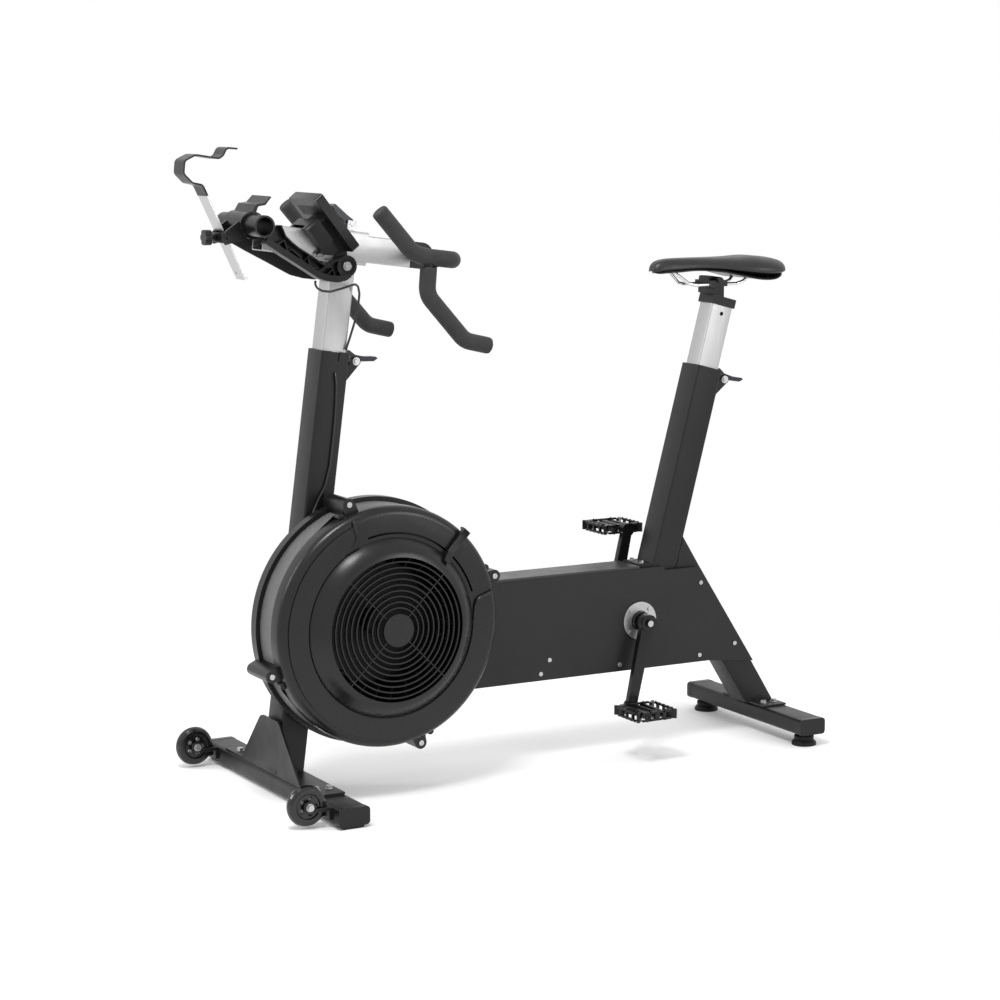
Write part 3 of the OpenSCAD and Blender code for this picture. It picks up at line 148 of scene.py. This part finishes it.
class Nodes:
    """Short names for building a node tree."""

    def __init__(self, name):
        self.material = bpy.data.materials.new(name)
        self.material.use_nodes = True
        self.tree = self.material.node_tree
        self.shader = self.tree.nodes["Principled BSDF"]
        self.place = self.tree.nodes.new("ShaderNodeTexCoord").outputs["Object"]

    def link(self, a, b):
        self.tree.links.new(a, b)

    def add(self, kind, values=None, links=None, **settings):
        node = self.tree.nodes.new("ShaderNode" + kind)
        for key, value in settings.items():
            setattr(node, key, value)
        for key, value in (values or {}).items():
            node.inputs[key].default_value = value
        for key, value in (links or {}).items():
            self.link(value, node.inputs[key])
        return node

    def fill(self, node, values):
        """Sets a node's inputs in turn, each to a constant or to another node's output."""
        for i, value in enumerate(values):
            if isinstance(value, (int, float, tuple)):
                node.inputs[i].default_value = value
            else:
                self.link(value, node.inputs[i])
        return node

    def math(self, operation, *values):
        return self.fill(self.add("Math", operation=operation), values).outputs["Value"]

    def vector_math(self, operation, *values):
        return self.fill(self.add("VectorMath", operation=operation), values)

    def offset(self, point):
        """The way from a point to the place on the surface."""
        return self.vector_math("SUBTRACT", self.place, tuple(point)).outputs["Vector"]

    def noise(self, scale, detail=3.0, stretch=None, turn=(0, 0, 0)):
        place = self.place
        if stretch:
            place = self.add("Mapping", {"Scale": stretch, "Rotation": turn},
                             {"Vector": place}).outputs["Vector"]
        return self.add("TexNoise", {"Scale": scale, "Detail": detail},
                        {"Vector": place}).outputs["Fac"]

    def ramp(self, value, low, high, out_low, out_high):
        return self.add("MapRange", {"From Min": low, "From Max": high, "To Min": out_low,
                                     "To Max": out_high}, {"Value": value}).outputs["Result"]

    def mix(self, share, a, b):
        node = self.add("Mix", data_type="RGBA")
        self.link(share, node.inputs["Factor"])
        for key, value in (("A", a), ("B", b)):
            sockets = [s for s in node.inputs if s.name == key and s.type == "RGBA"]
            if isinstance(value, tuple):
                sockets[0].default_value = value
            else:
                self.link(value, sockets[0])
        return [s for s in node.outputs if s.type == "RGBA"][0]

    def cloudy(self, value, color, low, high):
        """A colour that wanders between two shades of itself as a noise does."""
        return self.mix(self.ramp(value, 0.3, 0.7, 0, 1), shade(color, low), shade(color, high))

    def bump(self, height, strength, distance):
        return self.add("Bump", {"Strength": strength, "Distance": distance},
                        {"Height": height}).outputs["Normal"]

    def blend_shaders(self, share, first, second):
        both = self.fill(self.add("MixShader"), (share, first, second))
        self.link(both.outputs["Shader"], self.tree.nodes["Material Output"].inputs["Surface"])

    def out(self, **sockets):
        for key, value in sockets.items():
            socket = self.shader.inputs[key.replace("_", " ")]
            if isinstance(value, (int, float, tuple)):
                socket.default_value = value
            else:
                self.link(value, socket)
        return self.material


def grey(level):
    return (level, level, level, 1.0)


def shade(color, factor):
    return tuple(min(1.0, c * factor) for c in color[:3]) + (1.0,)


def paint_edge_highlight(n, base, amount):
    """Paints a paler grey along a coat's edges, in patches: a painted highlight."""
    round_normal = n.add("Bevel", {"Radius": 0.0016}, samples=4).outputs["Normal"]
    flat_normal = n.add("NewGeometry").outputs["Normal"]
    agree = n.vector_math("DOT_PRODUCT", round_normal, flat_normal).outputs["Value"]
    edge = n.ramp(agree, 0.995, 0.90, 0, amount)
    patch = n.ramp(n.noise(60, 4), 0.42, 0.62, 0.1, 1)
    # Painted highlight: the edges are mixed toward a paler grey
    return n.mix(n.math("MULTIPLY", edge, patch), base, grey(0.16))


def coated(name, color, rough, grain=900, depth=0.00012, strength=0.35, highlight_amount=0.0, gloss=0.5):
    """Powder coat, moulded plastic or rubber: cloudy colour, fine grain, and a painted highlight
    along the edges.
    """
    n = Nodes(name)
    base = n.cloudy(n.noise(7, 4), color, 0.86, 1.14)
    fine = n.noise(grain, 2)
    base = n.mix(n.ramp(fine, 0.35, 0.65, 0, 0.5), base, shade(color, 0.72))
    # Paler grey along the edges, in patches, is a painted highlight
    if highlight_amount > 0:
        base = paint_edge_highlight(n, base, highlight_amount)
    roughness = n.ramp(n.noise(35, 4), 0.3, 0.7, rough * 0.88, rough * 1.14)
    return n.out(Base_Color=base, Roughness=roughness, Specular_IOR_Level=gloss,
                 Normal=n.bump(fine, strength, depth))


def brushed(name, color, rough, lean, along=(900, 900, 6)):
    """Satin metal with fine lines along the tube and faint handling marks."""
    n = Nodes(name)
    lines = n.noise(1.0, 2, stretch=along, turn=(0, math.radians(lean), 0))
    smears = n.noise(14, 5)
    base = n.cloudy(lines, color, 0.92, 1.04)
    roughness = n.math("ADD", n.ramp(lines, 0.3, 0.7, rough * 0.85, rough * 1.05),
                       n.ramp(smears, 0.4, 0.7, 0, rough * 0.25))
    return n.out(Base_Color=base, Roughness=roughness, Metallic=1.0,
                 Normal=n.bump(lines, 0.03, 0.00004))


def plated(name, color, rough):
    """Zinc or chrome plate with small pits and swirls."""
    n = Nodes(name)
    pits = n.noise(420, 5)
    base = n.mix(n.ramp(pits, 0.35, 0.7, 0, 1), shade(color, 0.8), shade(color, 1.05))
    roughness = n.ramp(n.noise(120, 3), 0.3, 0.7, rough * 0.7, rough * 1.4)
    return n.out(Base_Color=base, Roughness=roughness, Metallic=1.0,
                 Normal=n.bump(pits, 0.12, 0.00006))


def pored(name, color, rough, cell, depth, sheen=0.0):
    """Foam or grained vinyl: a skin of small cells over a soft colour variation."""
    n = Nodes(name)
    cell_wall = n.add("TexVoronoi", {"Scale": cell}, {"Vector": n.place},
                      feature="DISTANCE_TO_EDGE")
    cells = n.ramp(cell_wall.outputs["Distance"], 0.0, 0.12, 0, 1)
    base = n.cloudy(n.noise(11, 4), color, 0.84, 1.16)
    base = n.mix(n.ramp(cells, 0, 1, 0.35, 0), base, shade(color, 0.5))
    roughness = n.ramp(n.noise(50, 3), 0.3, 0.7, rough * 0.9, min(1, rough * 1.1))
    material = n.out(Base_Color=base, Roughness=roughness, Normal=n.bump(cells, 0.35, depth))
    if sheen:
        n.out(Sheen_Weight=sheen, Sheen_Roughness=0.5)
    return material


def perforated(name, color, centre, radius, pitch):
    """Sheet metal with rows of round holes, each row half a pitch from the last, round an axis."""
    n = Nodes(name)
    row_gap = 0.866
    axes = n.add("SeparateXYZ", links={"Vector": n.offset(centre)})

    def off_centre(value):
        return n.math("SUBTRACT", n.math("SUBTRACT", value, n.math("FLOOR", value)), 0.5)

    turn = n.math("ARCTAN2", axes.outputs["Z"], axes.outputs["X"])
    v = n.math("MULTIPLY", axes.outputs["Y"], 1 / (pitch * row_gap))
    half_step = n.math("MULTIPLY", n.math("MODULO", n.math("FLOOR", v), 2), 0.5)
    u = n.math("ADD", n.math("MULTIPLY", turn, radius / pitch), half_step)
    du, dv = off_centre(u), n.math("MULTIPLY", off_centre(v), row_gap)
    far = n.math("SQRT", n.math("ADD", n.math("MULTIPLY", du, du), n.math("MULTIPLY", dv, dv)))
    hole = n.ramp(far, 0.24, 0.32, 1, 0)
    base = n.cloudy(n.noise(25, 3), color, 0.88, 1.12)
    # The holes are painted near black: painted shade of the dark fan inside seen through them
    base = n.mix(hole, base, grey(0.01))
    return n.out(Base_Color=base, Roughness=0.5, Metallic=0.0, Normal=n.bump(hole, 0.6, -0.0004))


def two_part(name, first, second, mask):
    """One material in place of two: mask(n) gives 0 where the first shows and 1 for the second."""
    n = Nodes(name)
    n.tree.nodes.remove(n.shader)
    n.blend_shaders(mask(n), first(n), second(n))
    return n.material


MASK_EDGE = 0.0002


def side_of(n, point, normal):
    """1 on the side of a plane that its normal points to."""
    above = n.vector_math("DOT_PRODUCT", n.offset(point), normal)
    return n.ramp(above.outputs["Value"], 0.0, MASK_EDGE, 0, 1)


def round_axis(n, point, radius):
    """1 nearer than radius to an axis along Y."""
    across = n.vector_math("MULTIPLY", n.offset(point), (1, 0, 1)).outputs["Vector"]
    far = n.vector_math("LENGTH", across).outputs["Value"]
    return n.ramp(far, radius, radius + MASK_EDGE, 1, 0)


def black_part(color=0.007, rough=0.3):
    """Glossy black for one half of a two-part material."""
    def make(n):
        shader = n.add("BsdfPrincipled", {"Specular IOR Level": 0.3})
        grain = n.noise(1300, 2)
        n.link(n.cloudy(n.noise(9, 4), grey(color), 0.8, 1.2), shader.inputs["Base Color"])
        n.link(n.ramp(n.noise(40, 3), 0.3, 0.7, rough * 0.85, rough * 1.2),
               shader.inputs["Roughness"])
        n.link(n.bump(grain, 0.25, 0.0001), shader.inputs["Normal"])
        return shader.outputs["BSDF"]
    return make


def silver_part(color, rough):
    """Turned metal for one half of a two-part material."""
    def make(n):
        shader = n.add("BsdfPrincipled", {"Metallic": 1.0})
        lines = n.noise(1.0, 2, stretch=(700, 700, 12))
        n.link(n.cloudy(lines, grey(color), 0.9, 1.05), shader.inputs["Base Color"])
        n.link(n.ramp(n.noise(30, 3), 0.3, 0.7, rough * 0.8, rough * 1.2),
               shader.inputs["Roughness"])
        n.link(n.bump(lines, 0.2, 0.00004), shader.inputs["Normal"])
        return shader.outputs["BSDF"]
    return make


def lever_pins(n):
    """1 on the pins of the two post levers."""
    return n.math("MAXIMUM", round_axis(n, joint_place("seat_lever_turn"), 0.0075),
                  round_axis(n, joint_place("post_lever_turn"), 0.0075))


# The edge amount given to some of these coats sets a painted highlight along their edges
POWDER = coated("powder_black", grey(0.0085), 0.38, highlight_amount=0.3, gloss=0.28)
SHEET = coated("powder_sheet", grey(0.012), 0.42, grain=1100, gloss=0.28)
# The top cover is the side covers' sheet painted lighter: painted light on its upward face
SHEET_PAINTED_LIT_TOP = coated("top_sheet_painted_lighter", grey(0.02), 0.35, grain=1100, gloss=0.5)
PLASTIC = coated("moulded_black", grey(0.006), 0.3, grain=1500, highlight_amount=0.12, gloss=0.3)
COVER = coated("cover_black", grey(0.008), 0.27, grain=1800, depth=0.00006, strength=0.15,
               gloss=0.34)
GRILLE = coated("grille_black", grey(0.008), 0.28, grain=1800, strength=0.15, gloss=0.36)
RUBBER = coated("rubber_black", grey(0.006), 0.6, grain=700, gloss=0.25)
TYRE = coated("wheel_black", grey(0.006), 0.16, grain=300, strength=0.05)
FAN = coated("fan_grey", grey(0.008), 0.5, grain=1500, gloss=0.25)
LEVER = coated("lever_black", (0.008, 0.009, 0.015, 1), 0.25, strength=0.15, highlight_amount=0.1)
SEAT_SILVER = brushed("seat_post_silver", grey(0.46), 0.4, SEAT_LEAN)
BAR_SILVER = brushed("bar_post_silver", grey(0.46), 0.4, BAR_LEAN)
STEM_SILVER = brushed("stem_silver", grey(0.52), 0.4, BAR_LEAN, along=(6, 900, 900))
ZINC = plated("zinc", grey(0.5), 0.3)
CHROME = plated("chrome", grey(0.75), 0.12)
FOAM = pored("foam_grey", grey(0.017), 0.75, 1900, 0.0001, sheen=0.05)
VINYL = pored("saddle_vinyl", grey(0.008), 0.36, 1100, 0.00008)
CABLE = coated("cable_black", grey(0.01), 0.35)
LCD = coated("display_glass", (0.20, 0.22, 0.19, 1), 0.12, grain=300, strength=0.02)
KEYS = coated("key_grey", grey(0.05), 0.45, grain=1200)
MESH = perforated("mesh_grey", grey(0.15), FAN_AXIS, FAN_R, 0.0032)
FLANGE = two_part("flange_silver_black", silver_part(0.45, 0.38), black_part(),
                  lambda n: round_axis(n, CRANK_AXIS, 0.02))
HOLDER = two_part("holder_silver_black", silver_part(0.6, 0.3), black_part(),
                  lambda n: side_of(n, HOOK_FROM, HOOK_ALONG))
CRANK = two_part("crank_black_bolt", black_part(0.006, 0.2), silver_part(0.5, 0.3),
                 lambda n: round_axis(n, CRANK_AXIS, 0.0062))
BRACKET = two_part("bracket_black_silver", black_part(), silver_part(0.6, 0.25), lever_pins)

LOOKS = {
    "front_foot_beam": POWDER, "front_end_caps": PLASTIC, "front_mast": POWDER,
    "frame_bolts": ZINC, "wheel_brackets": POWDER, "wheel_left": TYRE, "wheel_right": TYRE,
    "top_rail": POWDER, "bottom_rail": POWDER, "bearing_plates": POWDER,
    "side_cover_left": SHEET, "side_cover_right": SHEET, "top_cover": SHEET_PAINTED_LIT_TOP,
    "cover_screws": ZINC, "rear_leg": POWDER, "rear_foot_beam": POWDER,
    "rear_end_caps": PLASTIC, "levelling_foot_left": RUBBER, "levelling_foot_right": RUBBER,
    "seat_mast": POWDER, "mast_bushings": PLASTIC, "lever_brackets": BRACKET,
    "seat_lever": LEVER, "seat_post": SEAT_SILVER, "seat_post_cap": POWDER,
    "saddle_clamp": POWDER, "saddle_rails": CHROME, "saddle_shell": PLASTIC,
    "saddle_pad": VINYL, "handlebar_post": BAR_SILVER, "post_lever": LEVER,
    "stem_sleeve": STEM_SILVER, "stem_tube": STEM_SILVER, "stem_lever": LEVER,
    "handlebar_clamp": POWDER, "handlebar": POWDER, "grips": FOAM, "monitor_arm": PLASTIC,
    "stem_pins": ZINC, "monitor_case": PLASTIC, "monitor_screen": LCD, "monitor_keys": KEYS,
    "battery_box": PLASTIC, "holder_clamp": PLASTIC, "holder_bar": HOLDER,
    "holder_knob": PLASTIC, "upper_cable": CABLE, "lower_cable": CABLE,
    "fan_cover_left": COVER, "fan_grille": GRILLE, "fan_cover_right": COVER,
    "mesh_band": MESH, "damper_lever": PLASTIC, "fan_wheel": FAN, "drive_belts": RUBBER,
    "idler": FAN, "crank_set": CRANK, "bearing_flanges": FLANGE, "pedal_left": PLASTIC,
    "pedal_right": PLASTIC,
}

# Width of the rounding on each node's sharp edges, in metres
SOFT = {
    "fan_cover_left": 0.0015, "fan_cover_right": 0.0015, "monitor_case": 0.002,
    "battery_box": 0.002, "crank_set": 0.0015, "holder_clamp": 0.001, "side_cover_left": 0.001,
    "side_cover_right": 0.001, "top_cover": 0.001, "upper_cable": 0, "lower_cable": 0,
    "seat_post_cap": 0.0015, "monitor_arm": 0.0008, "handlebar_clamp": 0.0015,
}
SOFT_ELSEWHERE = 0.0006


def set_smooth(mesh):
    mesh.polygons.foreach_set("use_smooth", [True] * len(mesh.polygons))


def soften(node, width):
    """Smooth shading, with every sharp edge of a CAD node rounded a little."""
    thing = NODES[node]
    mesh = thing.data
    if "custom_normal" in mesh.attributes:
        mesh.attributes.remove(mesh.attributes["custom_normal"])
    set_smooth(mesh)
    weld = thing.modifiers.new("weld", "WELD")
    weld.merge_threshold = 2e-5
    flat = thing.modifiers.new("flat", "DECIMATE")
    flat.decimate_type = "DISSOLVE"
    flat.angle_limit = math.radians(0.3)
    if width > 0:
        bevel = thing.modifiers.new("bevel", "BEVEL")
        bevel.width = width
        bevel.segments = 2
        bevel.limit_method = "ANGLE"
        bevel.angle_limit = math.radians(32)
        bevel.harden_normals = True


def dress():
    for name, look in LOOKS.items():
        mesh = NODES[name].data
        mesh.materials.clear()
        mesh.materials.append(look)
        soften(name, SOFT.get(name, SOFT_ELSEWHERE))


# ---- pieces built here in place of CAD solids ----

def new_piece(name, verts, faces, look, body, nodes):
    mesh = bpy.data.meshes.new(name)
    mesh.from_pydata(verts, [], faces)
    bm = bmesh.new()
    bm.from_mesh(mesh)
    bmesh.ops.recalc_face_normals(bm, faces=bm.faces)
    bm.to_mesh(mesh)
    bm.free()
    piece = add_object(name, mesh)
    set_smooth(mesh)
    mesh.materials.append(look)
    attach(piece, body)
    if nodes:
        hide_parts(*nodes)
    return piece


def tube_faces(rings, around):
    """Faces of a closed body, from rings of as many points each, in turn along it."""
    faces = []
    for k in range(rings - 1):
        for i in range(around):
            j = (i + 1) % around
            faces.append((k * around + i, k * around + j, (k + 1) * around + j,
                          (k + 1) * around + i))
    faces.append(tuple(range(around)))
    faces.append(tuple((rings - 1) * around + i for i in range(around)))
    return faces


def foam_grips():
    """The foam sleeves: the CAD solid's copy, its joints melted by a remesh and a smooth."""
    source = NODES["grips"]
    piece = add_object("foam_grips", source.data.copy())
    piece.matrix_world = source.matrix_world.copy()
    remesh = piece.modifiers.new("remesh", "REMESH")
    remesh.mode = "VOXEL"
    remesh.voxel_size = 0.0018
    smooth = piece.modifiers.new("smooth", "SMOOTH")
    smooth.factor = 0.5
    smooth.iterations = 26
    # The smoothing thins the sleeves, and this puts their girth back
    grow = piece.modifiers.new("grow", "DISPLACE")
    grow.strength = 0.001
    grow.mid_level = 0
    deps = bpy.context.evaluated_depsgraph_get()
    mesh = bpy.data.meshes.new_from_object(piece.evaluated_get(deps))
    piece.modifiers.clear()
    piece.data = mesh
    set_smooth(mesh)
    mesh.materials.clear()
    mesh.materials.append(FOAM)
    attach(piece, "stem")
    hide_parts("grips")


# Along the saddle, from its nose: x, half width, top and underside, in mm from its clamp
SADDLE = [(-145, 10, 29, 17), (-135, 17, 38, 16), (-118, 21, 43, 17), (-90, 24.5, 44.5, 18),
          (-50, 29, 44.5, 20), (0, 42, 44, 17), (40, 57, 44.5, 9), (80, 68, 46, 1),
          (115, 68, 43, 0), (140, 58, 38, 6), (155, 38, 33, 14)]


def smooth_at(rows, t):
    """Catmull-Rom value of a table of rows at t, counted in rows."""
    i = min(int(t), len(rows) - 2)
    f = t - i
    a, b, c, d = (rows[max(i - 1, 0)], rows[i], rows[i + 1], rows[min(i + 2, len(rows) - 1)])
    return [0.5 * (2 * q + (r - p) * f + (2 * p - 5 * q + 4 * r - s) * f * f
                   + (3 * q - p - 3 * r + s) * f * f * f) for p, q, r, s in zip(a, b, c, d)]


def saddle_loft(name, rows, look, node, crown):
    """A closed crowned body through the rows, with rounded ends."""
    around, steps, end_steps = 40, 56, 3.0
    verts = []
    for k in range(steps + 1):
        x, half, top, low = smooth_at(rows, k / steps * (len(rows) - 1))
        end = min(1.0, k / end_steps, (steps - k) / end_steps)
        share = math.sqrt(max(1 - (1 - end) ** 2, 0.02))
        half *= share
        middle, tall = low + (top - low) * 0.5, (top - low) * 0.5 * share
        for i in range(around):
            t = 2 * math.pi * i / around
            c, q = math.cos(t), math.sin(t)
            y = half * math.copysign(abs(c) ** 0.78, c)
            z = middle + tall * (math.copysign(abs(q) ** 0.82, q) if q > 0 else q * 0.75)
            # Shallow channel along the middle and a dropped outer edge
            z -= 1.6 * math.exp(-(y / 6.0) ** 2) * max(q, 0) * share
            z -= crown * (y / max(half, 1)) ** 4 * share
            verts.append((SADDLE_AXIS[0] + x * MM, y * MM, SADDLE_AXIS[2] + z * MM))
    return new_piece(name, verts, tube_faces(steps + 1, around), look, "saddle", [node])


def saddle_pieces():
    pad = saddle_loft("saddle_cushion", SADDLE, VINYL, "saddle_pad", 6.0)
    # The base follows the cushion's underside, a little inside its edge
    base = [(x * 0.96, half - 4, low + 9, low - 3) for x, half, top, low in SADDLE]
    saddle_loft("saddle_base", base, PLASTIC, "saddle_shell", 4.0)


# Outline of a claw's section: across it, and away from the bike where negative
CLAW_SECTION = ((-1, 0.35), (-0.75, -0.5), (-0.35, -0.95), (0.35, -0.95), (0.75, -0.5),
                (1, 0.35))


def claw(name, points):
    """A tapered ridge on the near cover, through points of angle, radius and height in mm."""
    places = []
    for turn, r, tall in points:
        t = math.radians(turn)
        places.append((Vector((FAN_AXIS[0] + r * MM * math.cos(t), COVER_FACE_Y,
                               FAN_AXIS[2] + r * MM * math.sin(t))), tall * MM))
    verts = []
    for k, (place, tall) in enumerate(places):
        before, after = places[max(k - 1, 0)][0], places[min(k + 1, len(places) - 1)][0]
        along = (after - before).normalized()
        side = along.cross(Vector((0, 1, 0))).normalized()
        width = 0.0016 + 0.6 * tall
        for u, v in CLAW_SECTION:
            verts.append(place + side * (u * width) + Vector((0, v * tall, 0)))
    new_piece(name, verts, tube_faces(len(places), len(CLAW_SECTION)), COVER, "frame", [])


def pedal_piece(side):
    """A platform pedal: an open cage round its axle, with grip pins on both faces."""
    node = "pedal_" + side
    low, high = (Vector(corner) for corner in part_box(node))
    middle, size = (low + high) / 2, high - low
    bm = bmesh.new()

    def bar(place, sides, skew=0.0, turn=None):
        """A box, its ends pushed along X by skew or turned about its middle."""
        for v in bmesh.ops.create_cube(bm, size=1.0)["verts"]:
            v.co = Vector((v.co.x * sides[0], v.co.y * sides[1], v.co.z * sides[2]))
            v.co.x += v.co.y * skew
            if turn:
                v.co = turn @ v.co
            v.co += Vector(place)

    def rod(radius, length, segments, matrix):
        bmesh.ops.create_cone(bm, cap_ends=True, segments=segments, radius1=radius,
                              radius2=radius, depth=length, matrix=matrix)

    long, wide, tall = size / 2
    rail = 0.006
    deep = tall * 1.72
    rim = deep * 0.2
    for e in (-1, 1):
        for u in (-1, 1):
            level = u * (deep - rim) / 2
            bar((e * (long - rail / 2), 0, level), (rail, wide * 1.4, rim))
            bar((0, e * (wide - rail / 2), level), (long * 1.45, rail, rim))
        for f in (-0.5, 0, 0.5):
            bar((e * (long - rail / 2), f * wide, 0), (rail, 0.004, deep))
        for f in (-0.35, 0.35):
            bar((f * long, e * (wide - rail / 2), 0), (0.005, rail, deep))
        for f in (-1, 1):
            bar((e * long * 0.82, f * wide * 0.83, 0), (rail, 0.021, deep),
                turn=Matrix.Rotation(math.radians(-45 * e * f), 3, "Z"))
        bar((e * long * 0.42, 0, 0), (0.006, wide * 1.9, deep * 0.7))
        bar((e * long * 0.42, 0, 0), (0.005, wide * 1.2, deep * 0.6), skew=0.35 * e)
    rod(tall * 0.72, wide * 1.9, 32, Matrix.Rotation(math.radians(90), 4, "X"))
    pin_r, pin_length = 0.0016, tall * 2 - deep
    for u in (-1, 1):
        for e in (-1, 1):
            pins = [(e * (long - rail / 2), f * wide * 0.85) for f in (-0.8, -0.4, 0, 0.4, 0.8)]
            pins += [(f * long, e * (wide - rail / 2)) for f in (-0.45, 0.45)]
            for x, y in pins:
                rod(pin_r, pin_length, 12, Matrix.Translation((x, y, u * (deep / 2))))
    mesh = bpy.data.meshes.new(node + "_cage")
    bm.transform(Matrix.Translation(middle))
    bm.to_mesh(mesh)
    bm.free()
    piece = add_object(node + "_cage", mesh)
    mesh.materials.append(PLASTIC)
    bevel = piece.modifiers.new("bevel", "BEVEL")
    bevel.width, bevel.segments = 0.0008, 2
    bevel.limit_method = "ANGLE"
    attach(piece, node)
    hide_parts(node)


make_camera()
make_studio()
dress()
saddle_pieces()
claw("cover_claw_upper", [(110.5, 221, 1.5), (111.2, 212, 3.5), (111.6, 200, 4.5), (111.8, 190, 5),
                          (113, 183, 5), (115.5, 178, 4), (119, 175, 2.5), (124, 173, 1)])
claw("cover_claw_rear", [(14, 222, 1.5), (13.2, 213, 3.5), (12.8, 202, 4.5), (12.4, 191, 5),
                         (11, 183, 5), (8.5, 178, 4), (5, 175, 2.5), (0, 173, 1)])
foam_grips()
pedal_piece("left")
pedal_piece("right")
